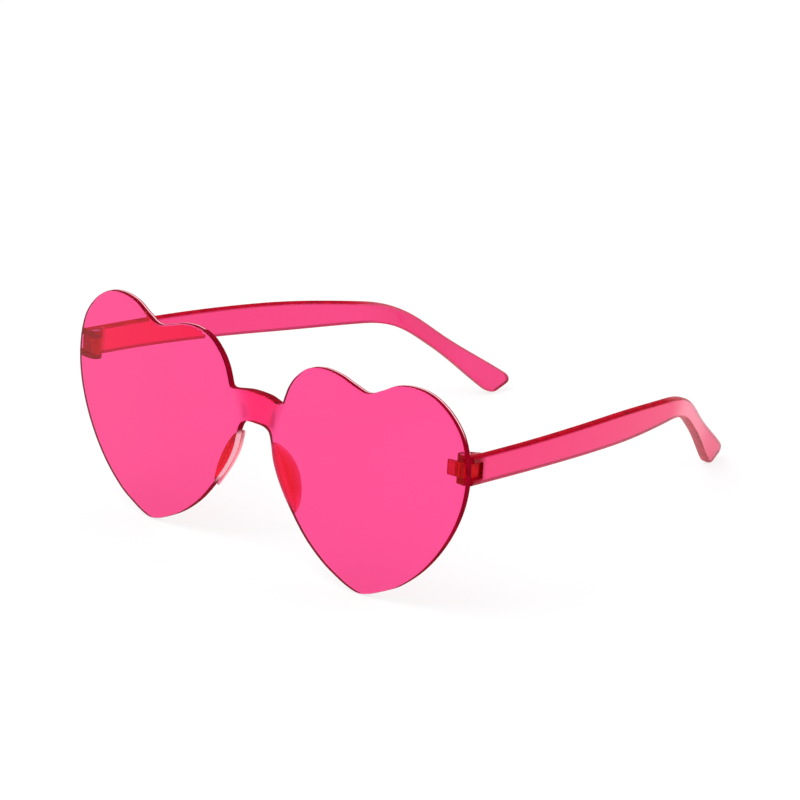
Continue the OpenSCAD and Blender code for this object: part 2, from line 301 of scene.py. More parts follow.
@dataclass(frozen=True)
class ClearPlastic:
    """Clear tinted plastic: a polished glassy surface round a body that swallows some colours.

    Attributes:
        name: The material's name.
        absorbed: How much red, green and blue are lost per metre.
        edge_colour: The deep colour that a cut edge scatters.
        painted_light_colour: The pale colour painted on where an edge is marked with painted light,
            a painted highlight.
        edge_share: How much of a cut edge's look is that scatter and not glass.
        polish: The roughness of a polished face.
        sawn: The roughness of a cut edge.
        ripple: The height of the slow ripple that moulding or rolling leaves.
        shine: How much red, green and blue a face mirrors, as shares of what bare glass does.
        glow: How strongly the satin glows in its own colour, painted light from a part that is no
            lamp.
        index: The refractive index.
        grain: Waves in a metre and detail of wear, wipe marks, ripple and saw marks.
        worn: Where the noise of wear starts to dull a face, and where it has.
        wear_share: How much duller it makes the face, as a share of its polish.
        wiped: Where the noise of wipe marks starts to deepen a cut edge, and where it has.
        deep_share: What is left of the edge's colour there.
        haze: How much duller a cut edge's scatter is than its glass.
    """

    name: str
    absorbed: Colour
    edge_colour: Colour = (0.22, 0.001, 0.01)
    painted_light_colour: Colour = (1.0, 0.55, 0.64)
    edge_share: float = 0.95
    polish: float = 0.02
    sawn: float = 0.22
    ripple: float = 4e-6
    shine: Colour = (0.55, 0.03, 0.04)
    glow: float = 0.45
    index: float = 1.5
    grain: tuple[Point2, ...] = ((90.0, 3.0), (420.0, 2.0), (55.0, 1.0), (1500.0, 2.0))
    worn: Point2 = (0.52, 0.75)
    wear_share: float = 0.8
    wiped: Point2 = (0.35, 0.7)
    deep_share: float = 0.6
    haze: float = 0.12

    def material(self) -> bpy.types.Material:
        """Builds the material.

        Returns:
            The material, with glassy faces, satin cut edges that glow with painted light and turn
            pale with painted highlights, and an absorbing body.
        """
        material = bpy.data.materials.new(self.name)
        tree = Tree.of(material)
        place = tree.add("ShaderNodeTexCoord", output="Object")
        cut, painted_light = (
            tree.add("ShaderNodeAttribute", {"attribute_name": mark}, output="Fac")
            for mark in EDGE_MARKS
        )
        wear, wipe, slow, saw = (tree.noise(place, *waves) for waves in self.grain)
        rough = (
            self.polish
            + wear.ramp(*self.worn) * (self.polish * self.wear_share)
            + cut * (wipe * 0.4 + 0.8) * (self.sawn - self.polish)
        )
        bump = tree.bump(slow * self.ripple + cut * saw * (self.ripple * 1.5))
        glass = tree.principled({
            "Base Color": tree.blend(wear, (1.0, 1.0, 1.0), (1.0, 0.985, 0.99)),
            "Roughness": rough,
            "IOR": self.index,
            "Transmission Weight": 1.0,
            "Specular Tint": (*self.shine, 1.0),
            "Normal": bump,
        })
        deep = tuple(c * self.deep_share for c in self.edge_colour)
        ground = tree.blend(wipe.ramp(*self.wiped), self.edge_colour, deep)
        # Painted highlight: the satin's colour turns pale where a surface is marked with painted
        # light
        scatter = tree.blend(painted_light, ground, self.painted_light_colour)
        # The satin glows in that colour, painted light from a part that is no lamp
        satin = tree.principled({
            "Base Color": scatter,
            "Roughness": rough + self.haze,
            "Specular IOR Level": 0.0,
            "Emission Color": scatter,
            "Emission Strength": self.glow,
            "Normal": bump,
        })
        surface = tree.add("ShaderNodeMixShader", {}, [cut * self.edge_share, glass, satin])
        # The body's colour stays a little over black in the colour that it swallows most
        peak = max(self.absorbed) * 1.02
        passed = tuple(1 - a / peak for a in self.absorbed) + (1.0,)
        body = tree.add("ShaderNodeVolumeAbsorption", {}, {"Color": passed, "Density": peak})
        tree.add("ShaderNodeOutputMaterial", {}, {"Surface": surface, "Volume": body})
        return material


@dataclass(frozen=True)
class Steel:
    """Plain turned steel.

    Attributes:
        name: The material's name.
        colour: The metal's colour.
        roughness: How dull it is.
        grain: Waves in a metre and detail of the turning marks and of the stains.
        groove: The height of the turning marks.
        stain_share: What a stain leaves of the metal's colour.
        stain_rough: How much duller a stain is.
    """

    name: str
    colour: Colour = (0.62, 0.63, 0.65)
    roughness: float = 0.28
    grain: tuple[Point2, ...] = ((5200.0, 3.0), (900.0, 2.0))
    groove: float = 4e-6
    stain_share: float = 0.72
    stain_rough: float = 0.15

    def material(self) -> bpy.types.Material:
        """Builds the material.

        Returns:
            The material, with fine turning marks and faint stains.
        """
        material = bpy.data.materials.new(self.name)
        tree = Tree.of(material)
        place = tree.add("ShaderNodeTexCoord", output="Object")
        turned, stain = (tree.noise(place, *waves) for waves in self.grain)
        stained = tuple(c * self.stain_share for c in self.colour)
        surface = tree.principled({
            "Base Color": tree.blend(stain, self.colour, stained),
            "Metallic": 1.0,
            "Roughness": self.roughness + stain * self.stain_rough,
            "Normal": tree.bump(turned * self.groove),
        })
        tree.add("ShaderNodeOutputMaterial", {}, {"Surface": surface})
        return material


# Meshes


def new_object(
    name: str, points: Sequence[Vector], faces: Sequence[Sequence[int]]
) -> bpy.types.Object:
    """Makes an object from points and faces.

    Args:
        name: The object's name.
        points: The places of its vertices.
        faces: The vertices of each face.

    Returns:
        The object, in the scene.
    """
    mesh = bpy.data.meshes.new(name)
    mesh.from_pydata([tuple(p) for p in points], [], [tuple(f) for f in faces])
    mesh.validate()
    thing = bpy.data.objects.new(name, mesh)
    bpy.context.scene.collection.objects.link(thing)
    return thing


def turn_outwards(thing: bpy.types.Object, double: float = 2e-7) -> None:
    """Merges doubles and turns every face outwards.

    Args:
        thing: The object.
        double: The distance under which two points are one.
    """
    shape = bmesh.new()
    shape.from_mesh(thing.data)
    bmesh.ops.remove_doubles(shape, verts=shape.verts, dist=double)
    bmesh.ops.recalc_face_normals(shape, faces=shape.faces)
    shape.to_mesh(thing.data)
    shape.free()


def settle(thing: bpy.types.Object) -> None:
    """Applies the modifiers and leaves one plain mesh.

    Args:
        thing: The object.
    """
    bpy.context.view_layer.update()
    solved = thing.evaluated_get(bpy.context.evaluated_depsgraph_get())
    mesh = bpy.data.meshes.new_from_object(solved)
    thing.modifiers.clear()
    old = thing.data
    thing.data = mesh
    mesh.name = thing.name
    bpy.data.meshes.remove(old)


def modify(thing: bpy.types.Object, kind: str, settings: dict[str, Any]) -> None:
    """Applies one modifier.

    Args:
        thing: The object.
        kind: The modifier's type.
        settings: What is set on it.
    """
    step = thing.modifiers.new(kind.lower(), kind)
    for name, value in settings.items():
        setattr(step, name, value)
    settle(thing)


def round_shading(thing: bpy.types.Object, crease: float = 32.0) -> None:
    """Shades smoothly up to a crease, with large faces kept flat.

    Args:
        thing: The object.
        crease: The angle between faces from which an edge stays sharp, in degrees.
    """
    thing.data.shade_smooth()
    thing.data.set_sharp_from_angle(angle=math.radians(crease))
    modify(thing, "WEIGHTED_NORMAL", {"keep_sharp": True, "weight": 80})


def combine(thing: bpy.types.Object, operation: Operation, *tools: bpy.types.Object) -> None:
    """Joins solids to a solid or cuts them out of it.

    Args:
        thing: The solid that is changed.
        operation: What the others do to it.
        tools: The other solids, which are used up.
    """
    for tool in tools:
        settings = {"operation": operation.value, "object": tool, "solver": "EXACT"}
        modify(thing, "BOOLEAN", settings)
        bpy.data.objects.remove(tool)


def bands(rings: int, count: int) -> list[list[int]]:
    """The faces between rings of points that follow each other.

    Args:
        rings: How many rings there are.
        count: How many points each has.

    Returns:
        The points' numbers, four to a face.
    """
    faces = []
    for low in range(0, (rings - 1) * count, count):
        for k in range(count):
            a, b = low + k, low + (k + 1) % count
            faces.append([a, b, b + count, a + count])
    return faces


def sweep(name: str, rings: Sequence[Ring]) -> bpy.types.Object:
    """Makes a closed solid over rings with the same number of points.

    Args:
        name: The object's name.
        rings: The rings, from one end to the other.

    Returns:
        The object.
    """
    n = len(rings[0])
    points = [p for ring in rings for p in ring]
    faces = [list(range(n))[::-1], *bands(len(rings), n), list(range(len(points)))[-n:]]
    thing = new_object(name, points, faces)
    turn_outwards(thing)
    return thing


def prism(
    outline: Sequence[Point2], low: float, high: float, name: str = "tool"
) -> bpy.types.Object:
    """Makes a prism on an outline in X and Y between two levels."""
    return sweep(name, [[Vector((x, y, z)) for x, y in outline] for z in (low, high)])


def arc(centre: Point2, radius: float, start: float, end: float, steps: int) -> list[Point2]:
    """Points on an arc, with angles in degrees."""
    angles = [math.radians(a) for a in spread(start, end, steps)]
    return [(centre[0] + radius * math.cos(a), centre[1] + radius * math.sin(a)) for a in angles]


def circle(centre: Point2, radius: float) -> list[Point2]:
    """Points once round a circle."""
    return arc(centre, radius, 0, 360, 48)[:-1]


def paint_edges(thing: bpy.types.Object, test: Callable[[Vector, Vector], Marks]) -> None:
    """Marks where a surface takes satin, on cut edges and as painted shade and painted light, and
    where it gets painted light.

    Args:
        thing: The piece, upright.
        test: From a normal and a place to the two marks, each from 0 to 1.
    """
    mesh = thing.data
    marks = [test(v.normal, v.co) for v in mesh.vertices]
    for name, values in zip(EDGE_MARKS, zip(*marks)):
        mesh.attributes.new(name, "FLOAT", "POINT").data.foreach_set("value", values)


# The shapes that the pieces share


@dataclass
class FrontShape:
    """The outline and the curve of the front, which the other pieces follow.

    Attributes:
        width: Width across the two hearts.
        heart_gap: Gap between the hearts.
        heart_height: Height of a heart.
        thickness: Thickness of the sheet.
        wrap_radius: Radius that the front is curved to.
        bridge_height: Height of the bridge at its middle.
        bridge_thickness: Thickness of the bridge.
        level_share: The level of bridge and hinges as a share of the heart's height.
        heart_shares: The heart's outline as shares of its width and height.
        bridge_top_shares: The bridge's upper line as shares of half its width.
        bridge_low_shares: The bridge's lower line as shares of half the gap.
    """

    width: float = 147 * MM
    heart_gap: float = 12 * MM
    heart_height: float = 58.4 * MM
    thickness: float = 2 * MM
    wrap_radius: float = 660 * MM
    bridge_height: float = 8.3 * MM
    bridge_thickness: float = 3.1 * MM
    level_share: float = 0.687
    heart_shares: tuple[Point2, ...] = (
        (0.062, 0.765), (0.070, 0.791), (0.087, 0.836), (0.121, 0.889), (0.182, 0.943),
        (0.264, 0.967), (0.350, 0.959), (0.424, 0.934), (0.498, 0.915), (0.572, 0.947),
        (0.643, 0.986), (0.735, 1.000), (0.827, 0.981), (0.915, 0.916), (0.976, 0.818),
        (1.000, 0.668), (0.981, 0.512), (0.918, 0.351), (0.819, 0.202), (0.699, 0.088),
        (0.596, 0.030), (0.551, 0.011), (0.505, 0.000), (0.458, 0.009), (0.400, 0.034),
        (0.308, 0.088), (0.210, 0.173), (0.126, 0.279), (0.061, 0.380), (0.021, 0.472),
        (0.003, 0.556),
    )
    bridge_top_shares: tuple[Point2, ...] = (
        (0.0, 0.0), (0.34, 0.015), (0.64, 0.054), (0.84, 0.078), (0.95, 0.054),
    )
    bridge_low_shares: tuple[Point2, ...] = (
        (0.90, 0.220), (0.72, 0.083), (0.47, 0.017), (0.0, 0.0),
    )

    @property
    def edge_x(self) -> float:
        """Where the outer edge of a heart is."""
        return self.width / 2

    @property
    def inner_x(self) -> float:
        """Where the inner edge of a heart is."""
        return self.heart_gap / 2

    @property
    def level(self) -> float:
        """The level of the bridge and the hinges."""
        return self.heart_height * self.level_share

    @property
    def notch_x(self) -> float:
        """Where the notch above the bridge is."""
        return self.heart_point(self.heart_shares[0]).x

    def heart_point(self, share: Point2) -> Vector:
        """A point of the right hand heart from its shares."""
        width = (self.width - self.heart_gap) / 2
        return Vector((self.inner_x + share[0] * width, share[1] * self.heart_height))

    def front_y(self, x: float) -> float:
        """Depth of the front face."""
        return self.wrap_radius - math.sqrt(self.wrap_radius**2 - x * x)

    def rear_y(self, x: float, gap: float = 0.0) -> float:
        """Depth of the rear face, or of a face that is a gap behind it."""
        return self.wrap_radius - math.sqrt((self.wrap_radius - self.thickness - gap) ** 2 - x * x)

    def outline(self, step: float) -> list[Vector]:
        """The whole outline, once round, clockwise from the middle of the bridge's top.

        Args:
            step: The greatest distance between points.

        Returns:
            Points in X and Z.
        """
        half = [
            Vector((s * self.notch_x, self.level + self.bridge_height / 2 - t * self.notch_x))
            for s, t in self.bridge_top_shares
        ]
        half += [self.heart_point(share) for share in self.heart_shares]
        half += [
            Vector((s * self.inner_x, self.level - self.bridge_height / 2 - t * self.inner_x))
            for s, t in self.bridge_low_shares
        ]
        whole = half + [Vector((-p.x, p.y)) for p in half[-2:0:-1]]
        count = len(whole)
        heading = [(whole[(i + 1) % count] - whole[i - 1]).normalized() for i in range(count)]
        line: list[Vector] = []
        for i, a in enumerate(whole):
            j = (i + 1) % count
            b = whole[j]
            reach = (b - a).length / 3
            steps = max(4, math.ceil((b - a).length / step))
            line += [
                bezier(a, a + heading[i] * reach, b - heading[j] * reach, b, k / steps)
                for k in range(steps)
            ]
        return line


@dataclass
class HingeShape:
    """Sizes of a hinge, which its tongue, its fork and its screw share.

    Attributes:
        front: The front that it stands on.
        pin_inset: Distance of the screw from the outer edge of the heart.
        barrel_radius: Radius of the fork's barrel.
        barrel_gap: Gap between the barrel and the sheet.
        tongue_height: Height of the tongue.
        foot_thickness: Thickness of the tongue's foot.
        foot_length: Length of the foot.
        slot_gap: Gap above, below and round the tongue.
        slot_rear_gap: Further gap behind the tongue.
        stop_gap: Gap between the fork and the sheet.
        screw_radius: Radius of the screw's shank.
        head_radius: Radius of its head.
        head_height: Height of its head.
        head_gap: Gap round the head.
        bore_gap: Gap round the shank in the tongue.
        root_height: Height of the fork.
        edge_margin: How far the foot stays inside the edge of the heart.
    """

    front: FrontShape
    pin_inset: float = 3.7 * MM
    barrel_radius: float = 1.7 * MM
    barrel_gap: float = 0.3 * MM
    tongue_height: float = 4 * MM
    foot_thickness: float = 0.9 * MM
    foot_length: float = 6.8 * MM
    slot_gap: float = 0.1 * MM
    slot_rear_gap: float = 0.35 * MM
    stop_gap: float = 0.1 * MM
    screw_radius: float = 0.7 * MM
    head_radius: float = 1.15 * MM
    head_height: float = 0.6 * MM
    head_gap: float = 0.08 * MM
    bore_gap: float = 0.05 * MM
    root_height: float = 7.6 * MM
    edge_margin: float = 0.5 * MM

    @property
    def pin(self) -> Point2:
        """Where the screw's line is, in plan."""
        x = self.front.edge_x - self.pin_inset
        return x, self.front.rear_y(x) + self.barrel_gap + self.barrel_radius

    @property
    def bore(self) -> list[Point2]:
        """The outline of the screw's bore, in plan."""
        return circle(self.pin, self.screw_radius + self.bore_gap)


@dataclass
class Standing:
    """How the upright object is set down on the table.

    Attributes:
        lean: The angle by which the front leans back, in degrees.
        back: How far it is moved along Y.
        rise: How far it is lifted.
    """

    lean: float
    back: float
    rise: float

    @classmethod
    def from_joint(cls, joint: dict[str, Any], upright: Vector) -> "Standing":
        """Finds how the object stands from a hinge.

        Args:
            joint: The frame's joint, whose axis is vertical while the front is upright.
            upright: The hinge's place while the front is upright.

        Returns:
            The standing that brings the hinge to the joint.
        """
        _, back, up = joint["axis"]
        lean = math.degrees(math.atan2(abs(back), abs(up)))
        leant = cls(lean, 0.0, 0.0).matrix @ upright
        place = Vector(joint["pos_m"])
        return cls(lean, place.y - leant.y, place.z - leant.z)

    @property
    def matrix(self) -> Matrix:
        """From the upright frame to the table's frame."""
        turn = Matrix.Rotation(-math.radians(self.lean), 4, "X")
        return Matrix.Translation((0, self.back, self.rise)) @ turn


@dataclass
class Maker:
    """What every sub-assembly needs to place and dress a piece.

    Attributes:
        standing: How the object stands.
        made: The materials made so far, by name.
    """

    standing: Standing
    made: dict[str, bpy.types.Material] = field(default_factory=dict)

    def material(self, finish: ClearPlastic | Steel) -> bpy.types.Material:
        """Makes the material of a finish, or gives it again.

        Args:
            finish: The finish.

        Returns:
            Its material.
        """
        if finish.name not in self.made:
            self.made[finish.name] = finish.material()
        return self.made[finish.name]

    def dress(
        self,
        thing: bpy.types.Object,
        finish: ClearPlastic | Steel,
        side: Side | None,
        body: str,
        node: str,
    ) -> None:
        """Sets a piece down, gives it its finish, ties it to its body and hides the solid that it
        stands for.

        Args:
            thing: The piece, drawn upright on the right hand side or in the middle.
            finish: Its finish.
            side: The side that it belongs to, or None for a piece in the middle.
            body: The body that it moves with.
            node: The solid that it stands for.
        """
        if side is Side.LEFT:
            thing.data.transform(Matrix.Scale(-1, 4, (1, 0, 0)))
            thing.data.flip_normals()
        thing.data.transform(self.standing.matrix)
        thing.data.update()
        thing.data.materials.clear()
        thing.data.materials.append(self.material(finish))
        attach(thing, body)
        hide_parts(node)
        log.info("%s: %d faces, for %s on %s", thing.name, len(thing.data.polygons), node, body)


# Sub-assemblies


@dataclass
class Front:
    """The sheet of two hearts and a bridge.

    Attributes:
        shape: Its outline and curve.
        finish: Its plastic.
        step: Greatest distance between the points of the outline.
        grid: Spacing of the points that carry the curve.
        edge_radius: Radius of the edges.
        edge_steps: Steps round an edge.
        top_crease: Width of the slope from the sheet to the thicker bridge, at its upper edge.
        low_crease: Width of that slope at the bridge's lower edge.
        line_share: Depth of the painted highlight line along a cut edge, as a share of the
            thickness.
        line_width: Width of that line.
        line_from: How far outside the bridge's notch that line starts.
        pad_shares: Where the edge beside a pad starts and ends, as shares of the height.
        pad_fades: Lengths over which that edge's painted light comes and goes.
        pad_reach_share: How far out that edge can be, as a share of half the width.
        pad_painted_light: How much painted light that edge gets.
        crease_fade: How far above and below the bridge's level the painted shade on its slopes
            comes and goes.
        crease_painted_shade: How much painted shade, as deep red satin, the slopes get below that
            level.
        clear_share: How far the grid stays from the outline, as a share of its spacing.
        sharp: Angle between faces from which an edge stays sharp, in degrees.
    """

    shape: FrontShape
    finish: ClearPlastic
    step: float = 0.7 * MM
    grid: float = 0.9 * MM
    edge_radius: float = 0.38 * MM
    edge_steps: int = 4
    top_crease: float = 6.4 * MM
    low_crease: float = 5.4 * MM
    line_share: float = 0.62
    line_width: float = 0.5 * MM
    line_from: float = 0.5 * MM
    pad_shares: Point2 = (0.56, 0.27)
    pad_fades: Point2 = (1.5 * MM, 3 * MM)
    pad_reach_share: float = 0.3
    pad_painted_light: float = 0.58
    crease_fade: float = 1 * MM
    crease_painted_shade: float = 0.35
    clear_share: float = 0.55
    sharp: float = 60.0

    def _bridge_extra(self, x: float, z: float) -> float:
        """How far the rear face stands out at a place.

        Args:
            x: The place across the front.
            z: Its height.

        Returns:
            0 on the hearts, growing up a slope to what the bridge is thicker by.
        """
        s = self.shape
        top = Vector((s.notch_x, s.level + s.bridge_height / 3))
        low = Vector((s.inner_x, s.level - s.bridge_height))
        along = (top - low).normalized()
        inside = min(s.notch_x - abs(x), along.cross(Vector((abs(x), z)) - low))
        high = part_way(z, s.level - s.bridge_height / 2, s.level + s.bridge_height / 2)
        crease = self.low_crease + (self.top_crease - self.low_crease) * high
        across = part_way(inside, 0, crease)
        return (s.bridge_thickness - s.thickness) * (across + ease(across)) / 2

    def _rear(self, p: Vector) -> float:
        """Depth of the flat sheet's rear face at a point in X and Z."""
        return self.shape.thickness + self._bridge_extra(p.x, p.y)

    def _flat(self) -> bpy.types.Object:
        """Makes the cut sheet before it is curved, with its depth along Y.

        Returns:
            The closed sheet, with rings round its edge and two meshed faces.
        """
        line = self.shape.outline(self.step)
        count = len(line)
        headings = [(line[(i + 1) % count] - line[i - 1]).normalized() for i in range(count)]
        inward = [Vector((heading.y, -heading.x)) for heading in headings]
        r = self.edge_radius
        angles = [math.radians(a) for a in spread(0, 90, self.edge_steps)]
        profile = [(r * (1 - math.sin(a)), r * (1 - math.cos(a))) for a in angles]
        # Three rows in the middle of the edge carry the painted highlight line
        light = self.shape.thickness * self.line_share
        rings = [(inset, depth, False) for inset, depth in profile]
        rings += [(0.0, light + k * self.line_width / 2, False) for k in (-1, 0, 1)]
        rings += [(inset, depth, True) for inset, depth in reversed(profile)]
        points: list[Vector] = []
        for inset, depth, rear in rings:
            for p, v in zip(line, inward):
                q = p + v * inset
                points.append(Vector((q.x, self._rear(q) - depth if rear else depth, q.y)))
        faces = bands(len(rings), count)
        face_line = [p + v * r for p, v in zip(line, inward)]
        edges = [(i, (i + 1) % count) for i in range(count)]
        flat, _, triangles, *_ = delaunay_2d_cdt(
            [*face_line, *self._inner_points(face_line)], edges, [], 1, 1e-7
        )
        for rear in (False, True):
            faces += [[len(points) + k for k in face] for face in triangles]
            points += [Vector((p.x, self._rear(p) if rear else 0.0, p.y)) for p in flat]
        thing = new_object("heart_sheet", points, faces)
        turn_outwards(thing)
        return thing

    def _inner_points(self, line: Sequence[Vector]) -> list[Vector]:
        """Fills an outline with a staggered grid.

        Args:
            line: The outline.

        Returns:
            The grid's points that are inside the outline and clear of it.
        """
        near = KDTree(len(line))
        for i, p in enumerate(line):
            near.insert((p.x, p.y, 0), i)
        near.balance()
        clear = self.grid * self.clear_share
        lowest = min(p.y for p in line)
        row_high = self.grid * math.sqrt(3) / 2
        rows: dict[int, list[float]] = {}
        for a, b in zip(line, [*line[1:], line[0]]):
            low, high = sorted((a.y, b.y))
            k = math.ceil((low - lowest) / row_high)
            while lowest + k * row_high < high:
                t = (lowest + k * row_high - a.y) / (b.y - a.y)
                rows.setdefault(k, []).append(a.x + (b.x - a.x) * t)
                k += 1
        inner: list[Vector] = []
        for k, crossings in rows.items():
            crossings.sort()
            offset = 0.5 * (k % 2)
            for start, end in zip(crossings[::2], crossings[1::2]):
                i = math.ceil(start / self.grid - offset)
                while (i + offset) * self.grid < end:
                    p = Vector(((i + offset) * self.grid, lowest + k * row_high))
                    if near.find((p.x, p.y, 0))[2] > clear:
                        inner.append(p)
                    i += 1
        return inner

    def _curve(self, thing: bpy.types.Object, material: bpy.types.Material) -> None:
        """Curves the flat sheet round the face with Geometry Nodes.

        Args:
            thing: The sheet.
            material: Its material.
        """
        rule = Rule("curve_round_the_face", {"Wrap Radius": self.shape.wrap_radius})
        tree, wrap = rule.tree, rule.size["Wrap Radius"]
        x = tree.add("ShaderNodeSeparateXYZ", {}, [tree.add("GeometryNodeInputPosition")], "X")
        left = wrap - tree.twin(x, "Y")
        y = wrap - (left * left - x * x).root()
        moved = tree.add("ShaderNodeCombineXYZ", {}, [x, y, tree.twin(x, "Z")])
        inputs = {"Geometry": rule.mesh, "Position": moved}
        rule.shape(thing, tree.add("GeometryNodeSetPosition", {}, inputs), material)

    def _edge_marks(self, normal: Vector, place: Vector) -> Marks:
        """Deep red edges, a painted highlight line along their tops, painted light on the edges
        beside the pads, and painted shade on the bridge's slopes below its level.

        Args:
            normal: The surface's direction.
            place: A place on the flat sheet.

        Returns:
            The two edge marks.
        """
        s = self.shape
        x, across, facing = abs(place.x), abs(normal.x), abs(normal.y)
        cut = rise(facing, 0.7, 0.3)
        inwards = -normal.x * math.copysign(1.0, place.x)
        if inwards > 0.2 and x < self.pad_reach_share * s.edge_x:
            # Painted light: the edge beside a pad is pale satin
            top, low = (share * s.heart_height for share in self.pad_shares)
            comes, goes = self.pad_fades
            beside = rise(place.z, top, top - comes) * rise(place.z, low, low + goes)
            return max(cut, rise(facing, 0.98, 0.7) * beside), self.pad_painted_light * beside
        if x < s.notch_x and cut == 0:
            # Painted shade: the bridge's slopes are deep red satin below its level
            lower = rise(place.z, s.level + self.crease_fade, s.level - self.crease_fade)
            return self.crease_painted_shade * lower * rise(across, 0.19, 0.24), 0.0
        # Painted highlight: a pale line along the middle of the edges that face up
        off_line = abs(place.y - s.thickness * self.line_share)
        on_line = off_line < self.line_width / 4 and x > s.notch_x + self.line_from
        return cut, rise(normal.z, 0.35, 0.65) if on_line else 0.0

    def build(self, maker: Maker) -> None:
        """Makes and dresses the sheet.

        Args:
            maker: Places and dresses it.
        """
        sheet = self._flat()
        paint_edges(sheet, self._edge_marks)
        self._curve(sheet, maker.material(self.finish))
        round_shading(sheet, self.sharp)
        maker.dress(sheet, self.finish, None, "front", "lens_front")


@dataclass
class NosePad:
    """A fin that stands on the rear of the sheet beside the nose.

    Attributes:
        shape: The front that it follows.
        finish: Its plastic.
        length: Length along the heart's edge.
        depth: How far it stands out.
        root_thickness: Thickness at the sheet.
        edge_thickness: Thickness near its free edge.
        flare: Angle by which it leans away from the nose.
        margin: Distance from the heart's edge.
        seat: How far its flanks are drawn into the sheet before they are cut at its face.
        glue: Gap that the cement fills.
        edge_shares: The line of the heart's edge as shares of the heart.
        nudge: How far to either side along that line its direction is taken.
        skew: Moves the deepest place towards the top.
        fullness: How full its line is.
        least_share: Thickness and depth at its ends as shares of the greatest.
        bulge: How far its flank beside the nose swells out.
        satin: How satin its parts with painted light are at the sheet, and how much more further
            out.
        rings: How many sections it is drawn with.
        flank_steps: Steps up a flank.
        edge_steps: Steps round the free edge.
        sharp: Angle between faces from which an edge stays sharp, in degrees.
    """

    shape: FrontShape
    finish: ClearPlastic
    length: float = 19.5 * MM
    depth: float = 4.2 * MM
    root_thickness: float = 4 * MM
    edge_thickness: float = 1.3 * MM
    flare: float = 20.0
    margin: float = -0.35 * MM
    seat: float = 0.6 * MM
    glue: float = 0.02 * MM
    edge_shares: tuple[Point2, ...] = (
        (0.003, 0.553), (0.026, 0.399), (0.117, 0.276), (0.210, 0.173),
    )
    nudge: float = 0.02
    skew: float = 0.92
    fullness: float = 0.55
    least_share: float = 0.03
    bulge: float = 0.6 * MM
    satin: Point2 = (0.2, 0.35)
    rings: int = 73
    flank_steps: int = 7
    edge_steps: int = 12
    sharp: float = 50.0

    def _edge(self, t: float) -> Vector:
        """A point of the heart's inner edge."""
        return bezier(*(self.shape.heart_point(share) for share in self.edge_shares), t)

    def _form(self, t: float) -> float:
        """Depth at a place along the pad, as a share of the greatest."""
        swell = math.sin(math.pi * min(1.0, max(0.0, t)) ** self.skew)
        return max(self.least_share, max(0.0, swell) ** self.fullness)

    @staticmethod
    def _on_flank(foot: Vector, top: Vector, share: float) -> Vector:
        """A place on a flank, from the sheet's face to the rounded edge."""
        face = -foot.y / (top.y - foot.y)
        return foot.lerp(top, face + (1 - face) * share)

    def _section(self, form: float, thick: float) -> list[Vector]:
        """A section across the pad, from one foot over the free edge to the other.

        Args:
            form: The depth there, as a share of the greatest.
            thick: The thickness there, at the sheet.

        Returns:
            Points with their distance from the section's middle and their depth.
        """
        depth = self.depth * form
        radius = min(self.edge_thickness, thick, depth) / 2
        middle = depth - radius
        lean = middle * math.tan(math.radians(self.flare))
        (foot, top), (near_foot, near_top) = (
            (Vector((sign * thick / 2, -self.seat)), Vector((lean + sign * radius, middle)))
            for sign in (1, -1)
        )
        shares = spread(0, 1, self.flank_steps)[:-1]
        section = [self._on_flank(foot, top, share) for share in shares]
        section += [Vector(p) for p in arc((lean, middle), radius, 0, 180, self.edge_steps)]
        out = Vector((near_foot.y - near_top.y, near_top.x - near_foot.x)).normalized()
        for share in reversed(shares):
            swell = self.bulge * form * math.sin(math.pi * share)
            section.append(self._on_flank(near_foot, near_top, share) + out * swell)
        return section

    def _ring(self, t: float, reach: float) -> Ring:
        """The section at a place along the pad, in the upright frame.

        Args:
            t: The place, from 0 at the upper end to 1 at the lower one.
            reach: The pad's length as a share of the edge's line.

        Returns:
            The ring of points.
        """
        e = t * reach
        form = self._form(t)
        thick = self.root_thickness * (self.least_share + (1 - self.least_share) * form)
        heading = (self._edge(e + self.nudge) - self._edge(e - self.nudge)).normalized()
        inward = Vector((-heading.y, heading.x))
        base = self._edge(e) + inward * (thick / 2 + self.margin)
        ring = []
        for q in self._section(form, thick):
            p = base + inward * q.x
            on_sheet = q.y < 1e-9
            face = self.shape.rear_y(p.x, self.glue) if on_sheet else self.shape.rear_y(base.x)
            ring.append(Vector((p.x, face if on_sheet else face + q.y, p.y)))
        return ring

    def _edge_marks(self, normal: Vector, place: Vector) -> Marks:
        """Painted light: a paler flank beside the nose, and paler upper ends.

        Args:
            normal: The surface's direction.
            place: A place on the pad.

        Returns:
            The two edge marks.
        """
        # Painted light: the flank beside the nose and the upper ends are pale satin
        beside, above = rise(-normal.x, 0.25, 0.55), rise(normal.z, 0.5, 0.8)
        out = part_way(place.y, self.shape.thickness, self.shape.thickness + self.depth)
        least, more = self.satin
        return (least + more * out) * max(beside, above), 1.0

    def build(self, maker: Maker, side: Side) -> None:
        """Makes and dresses one pad.

        Args:
            maker: Places and dresses it.
            side: Its side.
        """
        marks = [self._edge(t) for t in spread(0, 1, 20)]
        whole = sum((b - a).length for a, b in zip(marks, marks[1:]))
        places = [0.5 - 0.5 * math.cos(a) for a in spread(0, math.pi, self.rings - 1)]
        pad = sweep("pad_" + side.word, [self._ring(t, self.length / whole) for t in places])
        paint_edges(pad, self._edge_marks)
        round_shading(pad, self.sharp)
        name = "nose_pad_" + side.word
        maker.dress(pad, self.finish, side, "front", name)


